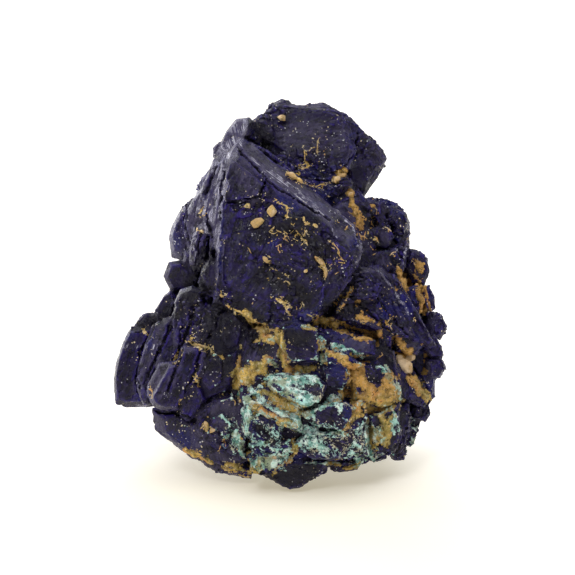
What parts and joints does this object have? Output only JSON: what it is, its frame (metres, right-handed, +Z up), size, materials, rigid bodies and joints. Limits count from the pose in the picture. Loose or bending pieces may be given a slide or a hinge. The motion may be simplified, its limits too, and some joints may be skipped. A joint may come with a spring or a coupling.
{
  "type": "azurite specimen",
  "caption": "Small natural azurite mineral specimen: dark blue tabular crystals grown together, with green malachite crust and ochre clay in the hollows.",
  "frame": {"origin": "the middle of the footprint box, on the surface that the specimen rests on", "axes": "+X to the right when the great front tablet faces the viewer, +Y from that tablet towards the back, +Z up"},
  "size_m": [0.0406, 0.0334, 0.0432],
  "materials": {
    "azurite": "vitreous dark blue crystal faces, dull in the hollows"
  },
  "bodies": {
    "root": {"azurite_cluster": "azurite"}
  },
  "joints": []
}
